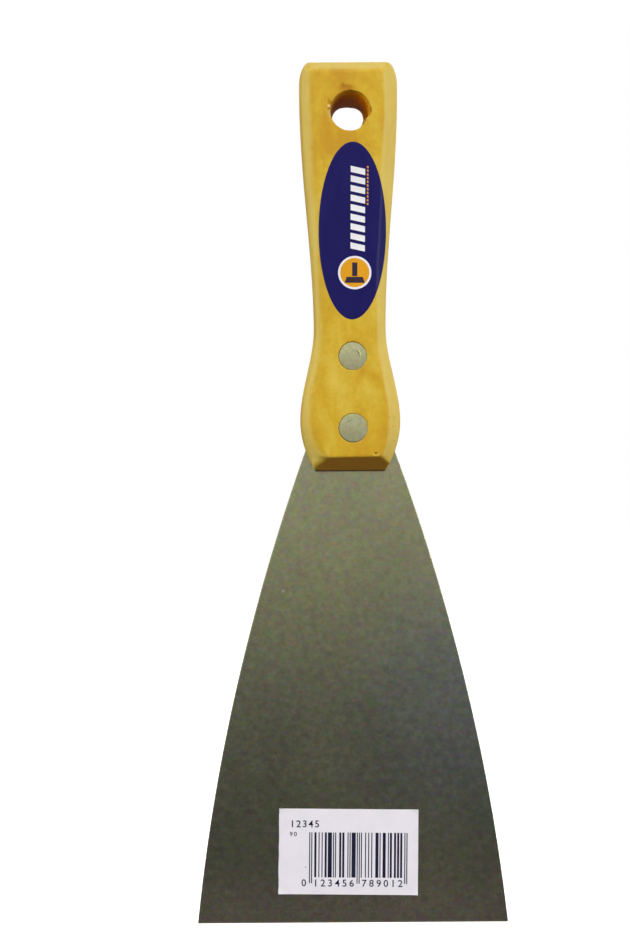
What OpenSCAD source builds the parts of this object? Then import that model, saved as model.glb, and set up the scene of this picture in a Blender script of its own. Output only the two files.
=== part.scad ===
// Drywall taping knife: a 90 mm flexible steel blade whose tang is riveted
// into the sawn slot of a shaped and bevelled wooden handle.
//
// Frame: +Z up along the handle, +X to the right, the front faces -Y.
// The origin is on the axis of the hang hole, in the plane of the blade.

/* [Handle] */
// Length of the handle, from its nose to its butt
handle_l = 117; // [110:0.5:125]
// Thickness of the handle between its flat front and back
handle_t = 20; // [18:0.5:24]
// Width of the end that the blade comes out of
nose_w = 20; // [18:0.5:22]
// Width of the belly, where the handle is widest near the blade
belly_w = 28.7; // [26:0.1:32]
// Height of the belly above the nose
belly_z = 14.5; // [13:0.5:18]
// Width of the waist, the narrowest part of the grip
waist_w = 20.6; // [20:0.1:24]
// Height of the waist above the nose
waist_z = 41; // [38:0.5:48]
// Width of the butt
butt_w = 28.2; // [26:0.1:32]
// Height above the nose at which the butt is widest
butt_z = 108; // [104:0.5:108]
// Width of the rounded corner of the butt, across the handle
corner_w = 3; // [2:0.5:4]
// Height of the rounded corner of the butt, along the handle
corner_h = 6; // [4:0.5:8]

/* [Bevels] */
// Width of the long bevels at the waist
waist_bevel = 2.6; // [2:0.1:3.2]
// How much wider the long bevels get for each millimetre of half width
bevel_growth = 0.28; // [0.2:0.01:0.4]
// How much wider they would be at the very end of the nose
nose_flare = 2; // [0:0.1:2.5]
// Length of the steep bevel over the blade
nose_bevel_l = 4; // [3:0.5:5]
// Thickness left at the very end of the nose
nose_t = 6; // [5:0.5:8]
// Length of the bevel at the butt
butt_bevel_l = 2.6; // [2:0.1:4]
// Thickness left at the very end of the butt
butt_t = 15.6; // [14:0.2:17]

/* [Hang hole] */
// Radius of the hang hole
hole_r = 5.5; // [4:0.1:6]
// Distance from the end of the butt to the middle of the hang hole
hole_drop = 14.5; // [12:0.5:18]

/* [Blade] */
// Width of the working edge
edge_w = 90; // [80:1:100]
// Length of blade that shows below the handle
blade_l = 131; // [120:1:140]
// Width of the blade at the nose of the handle
root_w = 30.2; // [28:0.1:34]
// How far each side bows out from a straight taper
side_bow = 4.05; // [2:0.05:6]
// Thickness of the steel
blade_t = 0.8; // [0.6:0.1:1]
// Height of the ground bevel along the working edge
grind_h = 3.3; // [2:0.1:5]
// Thickness left at the working edge
edge_t = 0.3; // [0.2:0.05:0.5]

/* [Tang] */
// Width of the tang inside the handle
tang_w = 16; // [14:0.5:17]
// Height of the end of the tang above the nose
tang_h = 41; // [39:0.5:44]
// Height of the blade's shoulders above the nose
shoulder_h = 8; // [7:0.5:9]
// Radius at the end of the tang and at its root
tang_r = 3; // [1:0.5:3]
// Space between the steel and each wall of the slot
slot_gap = 0.05; // [0.02:0.01:0.2]

/* [Rivets] */
// Radius of the rivets' heads
head_r = 4.2; // [3.6:0.1:4.6]
// Thickness of the rivets' heads
head_t = 1.4; // [1:0.1:2]
// Depth of the heads below the face of the wood
head_recess = 0.2; // [0.1:0.05:0.4]
// Outer radius of the tubular half
sleeve_r = 2.6; // [2.4:0.1:3]
// Radius of the solid half's shank, which presses into the tube
post_r = 1.9; // [1.6:0.1:2]
// Height of the lower rivet above the nose
rivet_z = 12.3; // [12:0.1:14]
// Distance between the two rivets
rivet_pitch = 20.5; // [18:0.5:22]

/* [Labels] */
// Height of the oval label
oval_h = 50.6; // [44:0.2:54]
// Width of the oval label
oval_w = 19.3; // [16:0.1:20]
// Height of the middle of the oval label above the nose
oval_z = 68.5; // [64:0.5:72]
// Sideways shift of the oval label from the middle of the handle
oval_x = 0.9; // [-1:0.1:1]
// Lean of the oval label, in degrees to the right
oval_lean = 0.6; // [-1:0.1:1]
// Width of the bar-code sticker
sticker_w = 40.4; // [36:0.1:44]
// Height of the bar-code sticker
sticker_h = 24.8; // [20:0.1:28]
// Height of the middle of the sticker above the working edge
sticker_z = 20.6; // [18:0.1:30]
// Sideways shift of the sticker from the middle of the blade
sticker_x = -1.2; // [-3:0.1:3]
// Turn of the sticker, in degrees clockwise as seen from the front
sticker_turn = 0.8; // [-2:0.1:2]
// Thickness of both labels
label_t = 0.12; // [0.08:0.01:0.2]

/* [Hidden] */

$fn = 96;
half_t = handle_t / 2;                   // from the blade's plane to a flat face
nose_z = hole_drop - handle_l;           // Z of the nose
edge_z = nose_z - blade_l;               // Z of the working edge
slot_t = blade_t + 2 * slot_gap;         // width of the sawn slot
slot_top = tang_h + 2;                   // the slot ends above the tang
rivet_levels = [rivet_z, rivet_z + rivet_pitch];
bore_gap = 0.1;                          // room around a rivet's tube
least_bevel = 0.15;                      // broken edge where a long bevel has run out
seat_gap = 0.2;                          // room around a rivet's head
tube_gap = 2.5;                          // from the end of a tube to the far head
post_gap = 0.6;                          // from the end of a post to the blind end
head_chamfer = 0.25;                     // broken edge of a rivet's head
glue_gap = 0.01;                         // between the oval label and the wood

steel = [0.42, 0.42, 0.38];
wood = [0.80, 0.64, 0.28];
soft_metal = [0.65, 0.64, 0.52];
label_blue = [0.13, 0.12, 0.37];
paper_white = [0.91, 0.89, 0.92];

// ---------------------------------------------------------------- handle

// Eases from 0 to 1 with no slope at either end.
function ease(t) = t * t * (3 - 2 * t);

// Half width of the handle at height z above its nose, without the butt's corners.
function side_curve(z) =
    z < belly_z ? nose_w / 2 + (belly_w - nose_w) / 2 * (1 - pow(1 - z / belly_z, 2)) :
    z < waist_z ? belly_w / 2 - (belly_w - waist_w) / 2 * ease((z - belly_z) / (waist_z - belly_z)) :
    waist_w / 2 + (butt_w - waist_w) / 2 * ease(min(1, (z - waist_z) / (butt_z - waist_z)));

// What the elliptical corner of the butt takes off the half width.
function corner_cut(z) =
    let (t = max(0, (z - handle_l + corner_h) / corner_h)) corner_w * (1 - sqrt(1 - t * t));

// Half width of the handle's outline at height z above its nose.
function half_w(z) = side_curve(z) - corner_cut(z);

// Half thickness of the handle, which the nose's and the butt's bevels bring down.
function face_y(z) =
    z < nose_bevel_l ? nose_t / 2 + (handle_t - nose_t) / 2 * z / nose_bevel_l :
    z > handle_l - butt_bevel_l ?
        butt_t / 2 + (handle_t - butt_t) / 2 * (handle_l - z) / butt_bevel_l :
    half_t;

// Width of a long bevel on the full thickness: it grows with the handle and flares to the nose.
function whole_bevel(z) =
    waist_bevel + (half_w(z) - waist_w / 2) * bevel_growth + nose_flare * pow(max(0, 1 - z / belly_z), 2);

// What the bevels of the nose and the butt, which meet it in a mitre, leave of a long bevel.
function bevel(z) = max(least_bevel, whole_bevel(z) - (half_t - face_y(z)));

// The handle's eight-sided section at height z, anticlockwise seen from above.
function section(z) =
    let (w = half_w(z), h = face_y(z), f = w - bevel(z), s = h - bevel(z))
    [for (p = [[w, -s], [w, s], [f, h], [-f, h], [-w, s], [-w, -s], [-f, -h], [f, -h]])
        [p[0], p[1], nose_z + z]];

// Heights of the sections: close together where the outline turns quickly.
nose_steps = 4;
grip_steps = 44;
butt_steps = 8;
grip_l = handle_l - butt_bevel_l - nose_bevel_l;
levels = concat(
    [for (i = [0:nose_steps - 1]) nose_bevel_l * i / nose_steps],
    [for (i = [0:grip_steps - 1]) nose_bevel_l + grip_l * i / grip_steps],
    [for (i = [0:butt_steps]) handle_l - butt_bevel_l * pow(1 - i / butt_steps, 2)]
);

// The same list of points in the opposite order.
function reversed(list) = [for (i = [len(list) - 1:-1:0]) list[i]];

// Skins a stack of closed rings that all have the same number of points.
module loft(rings) {
    n = len(rings[0]);
    last = len(rings) - 1;
    polyhedron(
        points = [for (ring = rings) each ring],
        faces = concat(
            [[for (i = [0:n - 1]) i]],
            [for (k = [0:last - 1], i = [0:n - 1])
                let (j = (i + 1) % n) [(k + 1) * n + i, (k + 1) * n + j, k * n + j, k * n + i]],
            [[for (i = [n - 1:-1:0]) last * n + i]]
        )
    );
}

// A cylinder along Y from y0 to y1, at height z above the handle's nose.
module rod(r, y0, y1, z) {
    translate([0, y1, nose_z + z]) rotate([90, 0, 0]) cylinder(r = r, h = y1 - y0);
}

module handle() {
    seat = head_recess + head_t;
    color(wood) difference() {
        loft([for (z = levels) section(z)]);
        // hang hole
        rod(hole_r, -half_t - 1, half_t + 1, handle_l - hole_drop);
        // sawn slot for the tang, open at the nose and on both sides
        translate([-belly_w, -slot_t / 2, nose_z - 1]) cube([2 * belly_w, slot_t, slot_top + 1]);
        // rivet bores, with a seat for each head
        for (z = rivet_levels) {
            rod(sleeve_r + bore_gap, -half_t - 1, half_t + 1, z);
            rod(head_r + seat_gap, -half_t - 1, -half_t + seat, z);
            rod(head_r + seat_gap, half_t - seat, half_t + 1, z);
        }
    }
}

// ----------------------------------------------------------------- blade

// Half width of the blade at t, which is 0 at the handle's nose and 1 at the edge.
function blade_half(t) = root_w / 2 + (edge_w - root_w) / 2 * t + 4 * side_bow * t * (1 - t);

// The right side of the blade's outline, from the working edge up to the tang's end.
side_steps = 32;
arc_steps = 6;
top_t = -shoulder_h / blade_l;
function blade_side() = concat(
    [for (i = [0:side_steps])
        let (t = 1 + (top_t - 1) * i / side_steps) [blade_half(t), nose_z - blade_l * t]],
    // concave fillet where the shoulder meets the tang
    [for (i = [0:arc_steps])
        let (a = 90 * i / arc_steps)
        [tang_w / 2 + tang_r * (1 - sin(a)), nose_z + shoulder_h + tang_r * (1 - cos(a))]],
    // round corner at the tang's end
    [for (i = [0:arc_steps])
        let (a = 90 * i / arc_steps)
        [tang_w / 2 - tang_r * (1 - cos(a)), nose_z + tang_h - tang_r * (1 - sin(a))]]
);

module blade() {
    right = blade_side();
    left = [for (p = reversed(right)) [-p[0], p[1]]];
    color(steel) difference() {
        intersection() {
            rotate([90, 0, 0]) linear_extrude(height = blade_t, center = true)
                polygon(concat(right, left));
            // the steel's thickness, brought down to the working edge by the ground bevels
            rotate([90, 0, 90]) linear_extrude(height = 2 * edge_w, center = true) polygon([
                [-edge_t / 2, edge_z],
                [edge_t / 2, edge_z],
                [blade_t / 2, edge_z + grind_h],
                [blade_t / 2, 0],
                [-blade_t / 2, 0],
                [-blade_t / 2, edge_z + grind_h],
            ]);
        }
        for (z = rivet_levels) rod(sleeve_r + bore_gap, -blade_t, blade_t, z);
    }
}

// ---------------------------------------------------------------- rivets

// A flat head with a broken edge. Its outer face is at y, and side is the way it faces.
module rivet_head(y, side, z) {
    translate([0, y, nose_z + z]) rotate([side * 90, 0, 0]) rotate_extrude() polygon([
        [0, 0],
        [head_r - head_chamfer, 0],
        [head_r, -head_chamfer],
        [head_r, -head_t],
        [0, -head_t],
    ]);
}

// Solid half: a head at the front and a shank that presses into the sleeve.
module rivet_post(z) {
    face = half_t - head_recess;
    color(soft_metal) union() {
        rivet_head(-face, 1, z);
        rod(post_r, -face + head_t / 2, face - head_t - post_gap, z);
    }
}

// Tubular half: a head at the back and a tube that is open towards the front.
module rivet_sleeve(z) {
    face = half_t - head_recess;
    tube_end = -face + head_t + tube_gap;
    color(soft_metal) difference() {
        union() {
            rivet_head(face, -1, z);
            rod(sleeve_r, tube_end, face - head_t / 2, z);
        }
        rod(post_r, tube_end - 1, face - head_t, z);
    }
}

// ---------------------------------------------------------------- labels

// Depth of the handle's front surface at x, and at height z above the nose.
function front_y(x, z) =
    let (over = max(0, abs(x) - (half_w(z) - bevel(z)))) -(face_y(z) - over);

// One ring of the oval label, at a share k of its size and lifted off the wood.
oval_segments = 48;
oval_rings = 6;
function oval_ring(k, lift) = [for (i = [0:oval_segments - 1])
    let (
        a = 360 * i / oval_segments,
        u = k * oval_w / 2 * cos(a),
        v = k * oval_h / 2 * sin(a),
        x = oval_x + u * cos(oval_lean) + v * sin(oval_lean),
        z = oval_z + v * cos(oval_lean) - u * sin(oval_lean)
    )
    [x, front_y(x, z) - lift, nose_z + z]];

// A film that lies on the front and folds a little way over the long bevels.
module oval_label() {
    under = [for (k = [1:oval_rings]) oval_ring(k / oval_rings, glue_gap)];
    over = [for (k = [oval_rings:-1:1]) oval_ring(k / oval_rings, glue_gap + label_t)];
    color(label_blue) loft([for (ring = concat(under, over)) reversed(ring)]);
}

module barcode_sticker() {
    color(paper_white)
        translate([sticker_x, -blade_t / 2 - label_t, edge_z + sticker_z])
        rotate([0, sticker_turn, 0])
        translate([-sticker_w / 2, 0, -sticker_h / 2])
        cube([sticker_w, label_t, sticker_h]);
}

// ---------------------------------------------------------------- layout

handle();
blade();
rivet_post(rivet_levels[0]);  // rivet_post_lower
rivet_post(rivet_levels[1]);  // rivet_post_upper
rivet_sleeve(rivet_levels[0]);  // rivet_sleeve_lower
rivet_sleeve(rivet_levels[1]);  // rivet_sleeve_upper
oval_label();
barcode_sticker();
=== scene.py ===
"""Looks of a drywall taping knife with a varnished wooden handle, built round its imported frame.

Lengths in the classes are millimetres. Handle heights count from its nose and blade heights from
its working edge. A piece is turned into metres in the frame's own axes when its mesh is made:
+Z up the handle, +X to the right, the labelled front towards -Y.
"""
import logging
import math
import re
from collections.abc import Callable, Iterable, Sequence
from dataclasses import dataclass
from enum import Enum
from typing import Any

import bpy
import numpy as np
from mathutils import Matrix, Vector


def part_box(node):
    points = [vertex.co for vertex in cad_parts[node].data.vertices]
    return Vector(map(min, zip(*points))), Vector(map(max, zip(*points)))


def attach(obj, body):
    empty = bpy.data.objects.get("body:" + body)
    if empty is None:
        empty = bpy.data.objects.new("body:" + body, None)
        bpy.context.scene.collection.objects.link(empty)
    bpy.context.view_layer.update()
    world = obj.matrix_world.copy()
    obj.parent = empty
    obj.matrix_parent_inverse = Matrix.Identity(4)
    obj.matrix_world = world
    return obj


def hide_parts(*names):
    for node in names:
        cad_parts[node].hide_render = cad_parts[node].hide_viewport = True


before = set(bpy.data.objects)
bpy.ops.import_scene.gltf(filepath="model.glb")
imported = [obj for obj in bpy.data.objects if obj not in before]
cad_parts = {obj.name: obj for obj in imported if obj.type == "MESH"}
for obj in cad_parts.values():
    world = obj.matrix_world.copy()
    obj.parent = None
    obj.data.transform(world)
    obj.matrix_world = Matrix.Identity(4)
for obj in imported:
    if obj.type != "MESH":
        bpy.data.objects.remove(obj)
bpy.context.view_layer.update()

MM = 0.001
BODY = "root"

Array = np.ndarray
Colour = tuple[float, float, float]
Point2 = tuple[float, float]
Point3 = tuple[float, float, float]
Spot = tuple[Array, Array, Array]

log = logging.getLogger("taping_knife")


# ---- shader sums


@dataclass(frozen=True)
class Wire:
    """A shader socket that Python's operators can be used on."""

    shader: "Shader"
    socket: bpy.types.NodeSocket

    @property
    def is_vector(self) -> bool:
        """Whether the wire carries a vector or a colour."""
        return self.socket.type in ("VECTOR", "RGBA")

    def _sum(self, operation: str, first: Any, second: Any) -> "Wire":
        """Adds a Math node, or a Vector Math node where either term is a vector.

        Args:
            operation: The node's operation.
            first: The first term, a wire, a number or a tuple.
            second: The second term.

        Returns:
            The node's result.
        """
        terms = (first, second)
        kind = "ShaderNodeMath"
        if any(isinstance(t, tuple) or getattr(t, "is_vector", False) for t in terms):
            kind = "ShaderNodeVectorMath"
            first, second = ((t,) * 3 if isinstance(t, (int, float)) else t for t in terms)
        return self.shader.node(kind, {"operation": operation}, {0: first, 1: second})

    def __add__(self, other: Any) -> "Wire":
        """This wire plus another."""
        return self._sum("ADD", self, other)

    __radd__ = __add__

    def __sub__(self, other: Any) -> "Wire":
        """This wire minus another."""
        return self._sum("SUBTRACT", self, other)

    def __rsub__(self, other: Any) -> "Wire":
        """Another value minus this wire."""
        return self._sum("SUBTRACT", other, self)

    def __mul__(self, other: Any) -> "Wire":
        """This wire times another."""
        return self._sum("MULTIPLY", self, other)

    __rmul__ = __mul__

    def __abs__(self) -> "Wire":
        """This wire without its sign."""
        return self._sum("ABSOLUTE", self, 0.0)

    def fade(self, low: float, high: float) -> "Wire":
        """A smooth step.

        Args:
            low: The value at which the result is 0.
            high: The value at which it is 1, which may lie below low.

        Returns:
            The wire mapped to 0..1.
        """
        made = self.shader.node(
            "ShaderNodeMapRange",
            {"interpolation_type": "SMOOTHSTEP"},
            {"Value": self, "From Min": min(low, high), "From Max": max(low, high)},
        )
        return 1.0 - made if low > high else made

    def axis(self, name: str) -> "Wire":
        """One of a vector's parts, X, Y or Z."""
        return self.shader.node("ShaderNodeSeparateXYZ", {}, {0: self}, name)

    def size(self) -> "Wire":
        """A vector's length."""
        return self.shader.node("ShaderNodeVectorMath", {"operation": "LENGTH"}, {0: self}, "Value")

    def swing(self, reach: float) -> "Wire":
        """This wire folded to and fro between 0 and reach."""
        return self._sum("PINGPONG", self, reach)

    def or_more(self, other: "Wire") -> "Wire":
        """The larger of this wire and another."""
        return self._sum("MAXIMUM", self, other)


class Shader:
    """The nodes of a material, or of the world, under construction."""

    def __init__(self, name: str, kind: str = "materials") -> None:
        """Starts with no nodes.

        Args:
            name: The material's or the world's name.
            kind: "materials" or "worlds".
        """
        self.made = getattr(bpy.data, kind).new(name)
        self.made.use_nodes = True
        self.tree = self.made.node_tree
        self.tree.nodes.clear()

    def node(
        self, kind: str, settings: dict[str, Any], inputs: dict[Any, Any], output: Any = 0
    ) -> Wire:
        """Adds any node.

        Args:
            kind: The node's type.
            settings: Its properties, set before its sockets. "stops" gives a ramp's stops.
            inputs: Wires or values by socket name or number.
            output: The name or number of the output wanted.

        Returns:
            That output.
        """
        made = self.tree.nodes.new(kind)
        for key, value in settings.items():
            if key == "stops":
                ramp = made.color_ramp.elements
                while len(ramp) < len(value):
                    ramp.new(0.5)
                for stop, (place, colour) in zip(ramp, value):
                    stop.position = place
                    stop.color = (*colour, 1.0)
            else:
                setattr(made, key, value)
        for key, value in inputs.items():
            socket = made.inputs[key]
            if isinstance(value, Wire):
                self.tree.links.new(value.socket, socket)
            elif socket.type == "RGBA":
                socket.default_value = (*value, 1.0)
            else:
                socket.default_value = value
        return Wire(self, made.outputs[output])

    def place(self, stretch: Sequence[float] = (1.0, 1.0, 1.0)) -> Wire:
        """The point being shaded, in millimetres.

        Args:
            stretch: What each axis is multiplied by.

        Returns:
            The stretched position.
        """
        spot = self.node("ShaderNodeTexCoord", {}, {}, "Object")
        return spot * tuple(s / MM for s in stretch)

    def facing(self) -> Wire:
        """The surface's normal in the frame's axes."""
        return self.node("ShaderNodeTexCoord", {}, {}, "Normal")

    def noise(self, at: Wire, scale: float, detail: float = 2.0, rough: float = 0.5) -> Wire:
        """Smooth noise.

        Args:
            at: Where it is read.
            scale: Features per unit of at.
            detail: Octaves.
            rough: How much each octave counts.

        Returns:
            A value near 0.5.
        """
        return self.node(
            "ShaderNodeTexNoise",
            {"noise_dimensions": "3D"},
            {"Vector": at, "Scale": scale, "Detail": detail, "Roughness": rough},
        )

    def hues(self, at: Wire, scale: float, spread: Colour) -> Wire:
        """A colour that wanders round white.

        Args:
            at: Where it is read.
            scale: Features per unit of at.
            spread: How far red, green and blue wander.

        Returns:
            The colour, to multiply another one with.
        """
        wander = self.node(
            "ShaderNodeTexNoise", {}, {"Vector": at, "Scale": scale, "Detail": 3.0}, "Color"
        )
        return wander * spread + tuple(1.0 - k / 2 for k in spread)

    def specks(self, at: Wire, scale: float, size: float) -> Wire:
        """Sparse spots.

        Args:
            at: Where they are read.
            scale: Cells per unit of at.
            size: Radius of a spot, as a share of a cell.

        Returns:
            1 in a spot and 0 elsewhere.
        """
        reach = self.node(
            "ShaderNodeTexVoronoi", {"feature": "F1"}, {"Vector": at, "Scale": scale}
        )
        return reach.fade(size, size * 0.5)

    def attribute(self, name: str) -> Wire:
        """A value stored on the mesh's points."""
        return self.node("ShaderNodeAttribute", {"attribute_name": name}, {}, "Fac")

    def mix(self, share: Any, first: Any, second: Any) -> Wire:
        """Blends two colours.

        Args:
            share: How much of the second there is, from 0 to 1.
            first: A wire or a colour.
            second: A wire or a colour.

        Returns:
            The blend.
        """
        # a Mix node's sockets 6 and 7 and its output 2 are the ones for colours
        settings = {"data_type": "RGBA"}
        return self.node("ShaderNodeMix", settings, {0: share, 6: first, 7: second}, 2)

    def ramp(self, at: Wire, stops: Sequence[tuple[float, Colour]]) -> Wire:
        """A colour ramp.

        Args:
            at: Where along it.
            stops: Places and colours.

        Returns:
            The colour.
        """
        return self.node("ShaderNodeValToRGB", {"stops": stops}, {0: at}, "Color")

    def bump(self, height: Wire, depth: float, strength: float) -> Wire:
        """Fine relief.

        Args:
            height: The relief, from 0 to 1.
            depth: The height of 1, in millimetres.
            strength: How strongly it shows.

        Returns:
            The bent normal.
        """
        inputs = {"Strength": strength, "Distance": depth * MM, "Height": height}
        return self.node("ShaderNodeBump", {}, inputs, "Normal")

    def finish(self, **sockets: Any) -> bpy.types.Material:
        """Ends the material with a Principled shader.

        Args:
            **sockets: Its inputs, with _ for a space.

        Returns:
            The material.
        """
        inputs = {key.replace("_", " "): value for key, value in sockets.items()}
        self.end("Material", self.node("ShaderNodeBsdfPrincipled", {}, inputs))
        return self.made

    def end(self, kind: str, surface: Wire) -> None:
        """Links a shader to the output node of a Material or a World."""
        output = self.tree.nodes.new("ShaderNodeOutput" + kind)
        self.tree.links.new(surface.socket, output.inputs["Surface"])


# ---- finishes


@dataclass(frozen=True)
class VarnishedWood:
    """Pale straight-grained hardwood under an amber varnish."""

    straw: Colour = (0.655, 0.465, 0.056)
    honey: Colour = (0.585, 0.370, 0.016)
    amber: Colour = (0.520, 0.278, 0.008)
    # the paler colour of the painted sheen on the bevels and the butt
    sheen_tint: Colour = (0.670, 0.520, 0.125)
    bored: Colour = (0.460, 0.250, 0.020)
    # painted shade deep in the hang hole
    deep_wall_shade: Colour = (0.400, 0.215, 0.175)
    rust: Colour = (0.950, 0.460, 0.012)
    splinters: tuple[Colour, ...] = (
        (0.150, 0.080, 0.014),
        (0.430, 0.185, 0.006),
        (0.390, 0.225, 0.008),
        (0.760, 0.610, 0.330),
    )
    splinter_tones: tuple[float, ...] = (0.10, 0.35, 0.60, 0.95)
    end_grain: Colour = (0.355, 0.150, 0.007)
    # painted shadow along the foot of the nose, where it meets the blade
    grime_and_shade: Colour = (0.075, 0.038, 0.022)
    pore: Colour = (0.180, 0.090, 0.012)
    heart: Point3 = (7.0, 46.0, 0.0)
    ring: float = 2.3
    nose_z: float = -102.5

    def material(self, bare: bool = False) -> bpy.types.Material:
        """The wood's material.

        Args:
            bare: Whether it is the drilled wall, which has no varnish to shine.

        Returns:
            The material.
        """
        s = Shader("drilled_wood" if bare else "varnished_wood")
        spot = s.place()
        patch = s.noise(spot, 0.30, 3.0, 0.6)
        flat_side = abs(s.facing().axis("X")).fade(0.80, 0.95)
        colour, fibre, pores = self.figure(s, spot, flat_side)
        colour = self.paint_sheen(s, colour, patch, flat_side)
        colour, dark = self.nose(s, spot, colour, patch)
        colour = s.mix(s.attribute("pit") * 0.55, colour, self.pore)
        colour = s.mix(s.attribute("drilled") * 0.95, colour, self.bore_wall(s, spot, patch))
        torn = s.attribute("torn")
        speck = (s.noise(spot, 1.8, 2.0) - 0.5) * 0.2
        raw = s.ramp(s.attribute("tone") + speck, list(zip(self.splinter_tones, self.splinters)))
        colour = s.mix(torn * 0.9, colour, raw)
        relief = fibre * 0.5 + pores * -0.5 + patch * 2.0 + s.noise(spot, 1.1, 2.0) * 0.8
        return s.finish(
            Base_Color=colour,
            Roughness=0.48 + fibre * 0.12 + torn * 0.3 + dark * 0.1,
            Normal=s.bump(relief, 0.06, 0.6),
            Specular_IOR_Level=0.0 if bare else 0.26,
            Coat_Weight=0.0 if bare else 0.08 * (1.0 - torn),
            Coat_Roughness=0.32,
            Coat_IOR=1.45,
        )

    def figure(self, s: Shader, spot: Wire, quarter: Wire) -> tuple[Wire, Wire, Wire]:
        """The grain under the varnish.

        Args:
            s: The material under construction.
            spot: The point being shaded.
            quarter: Where the wood is cut square to its rings, which show as lines there.

        Returns:
            Its colour, its fibres and its pores.
        """
        sway = s.noise(s.place((0.10, 0.10, 0.028)), 1.0, 2.0)
        bent = spot + sway * (26.0, 0.0, 0.0)
        across = (spot - self.heart) * (1.0, 1.0, 0.0)
        rings = (across.size() + sway * 14.0).swing(self.ring).fade(0.0, self.ring)
        blotch = s.noise(bent * (0.17, 0.17, 0.055), 1.0, 3.0, 0.55)
        cloud = s.noise(spot + (0.0, 0.0, 31.0), 0.55, 4.0, 0.75)
        fibre = s.noise(bent * (2.2, 2.2, 0.24), 1.0, 3.0, 0.6)
        tone = rings * (quarter * 0.30 + 0.12) + blotch * 0.62 + cloud * 0.38 + fibre * 0.10 - 0.09
        tone = tone + s.attribute("soak") * 0.20
        colour = s.ramp(tone, [(0.36, self.straw), (0.54, self.honey), (0.74, self.amber)])
        pores = s.specks(s.place((1.0, 1.0, 0.25)), 0.60, 0.12)
        colour = s.mix(pores * fibre.fade(0.45, 0.65) * 0.4, colour, self.pore)
        colour = colour * s.hues(spot + (0.0, 9.0, 0.0), 0.7, (0.16, 0.16, 0.60))
        return colour, fibre, pores

    def paint_sheen(self, s: Shader, colour: Wire, patch: Wire, flat_side: Wire) -> Wire:
        """Paints sheen as a paler colour where the bevels and the butt turn aside or up.

        Args:
            s: The material under construction.
            colour: The wood so far.
            patch: Unevenness, near 0.5.
            flat_side: Where the surface faces straight to a side.

        Returns:
            The colour.
        """
        bevelled = (abs(s.facing().axis("X")) + (patch - 0.5) * 0.15).fade(0.30, 0.68)
        top = s.facing().axis("Z").fade(0.30, 0.62)
        # painted sheen: paler where the bevels turn aside and the butt faces up, a little darker
        # facing up
        pale = (bevelled * (0.75 - flat_side * 0.45)).or_more(top * 0.75)
        return s.mix(pale * (0.72 + patch * 0.4), colour, self.sheen_tint) * (1.0 - top * 0.13)

    def nose(self, s: Shader, spot: Wire, colour: Wire, patch: Wire) -> tuple[Wire, Wire]:
        """Darkens the nose's end grain, which soaks varnish up, and paints shade and light by it.

        Args:
            s: The material under construction.
            spot: The point being shaded.
            colour: The wood so far.
            patch: Unevenness, near 0.5.

        Returns:
            The colour, and how dark it is.
        """
        facing = s.facing()
        height = spot.axis("Z") - self.nose_z
        painted_bevel_light = facing.axis("X").fade(-0.25, -0.55) * height.fade(12.0, 3.0)
        soaked = facing.axis("Z").fade(-0.66, -0.82) * height.fade(9.0, 6.0)
        # the end grain facing down is darker in itself; the strip along the nose's foot is painted
        # shade
        dark = soaked.or_more((height + (patch - 0.5) * 4.0).fade(1.6, 0.0) * 0.6)
        # painted light on the bevel left of the nose, lightened low down where it turns to the side
        colour = colour * (1.0 + painted_bevel_light * 0.20)
        colour = s.mix(dark * (0.75 + patch * 0.3), colour, self.end_grain)
        # a painted shadow line along the foot of the nose
        return s.mix(height.fade(0.60, 0.15) * 0.75, colour, self.grime_and_shade), dark

    def bore_wall(self, s: Shader, spot: Wire, patch: Wire) -> Wire:
        """The drilled hole's wall, redder at its right, with painted shade deep in and at its
        mouth.

        Args:
            s: The material under construction.
            spot: The point being shaded.
            patch: Unevenness, near 0.5.

        Returns:
            The wall's colour.
        """
        across, through, up = (spot.axis(name) for name in "XYZ")
        depth = through + (patch - 0.5) * 5.0
        # painted shade: the wall turns a purplish dark brown further into the hole
        wall = s.mix(depth.fade(-6.5, 2.0), self.bored, self.deep_wall_shade)
        right = (across + (patch - 0.5) * 4.0).fade(1.0, 4.6)
        right = right * depth.fade(9.0, -2.0).or_more(up.fade(4.2, 2.4))
        wall = s.mix(right * 0.9, wall, self.rust)
        # painted shade at the top of the hole's mouth
        mouth_shade = through.fade(-9.0, -9.7) * (up - across * 0.2).fade(-2.0, 1.0)
        return s.mix(mouth_shade * 0.75, wall, self.pore)


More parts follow.
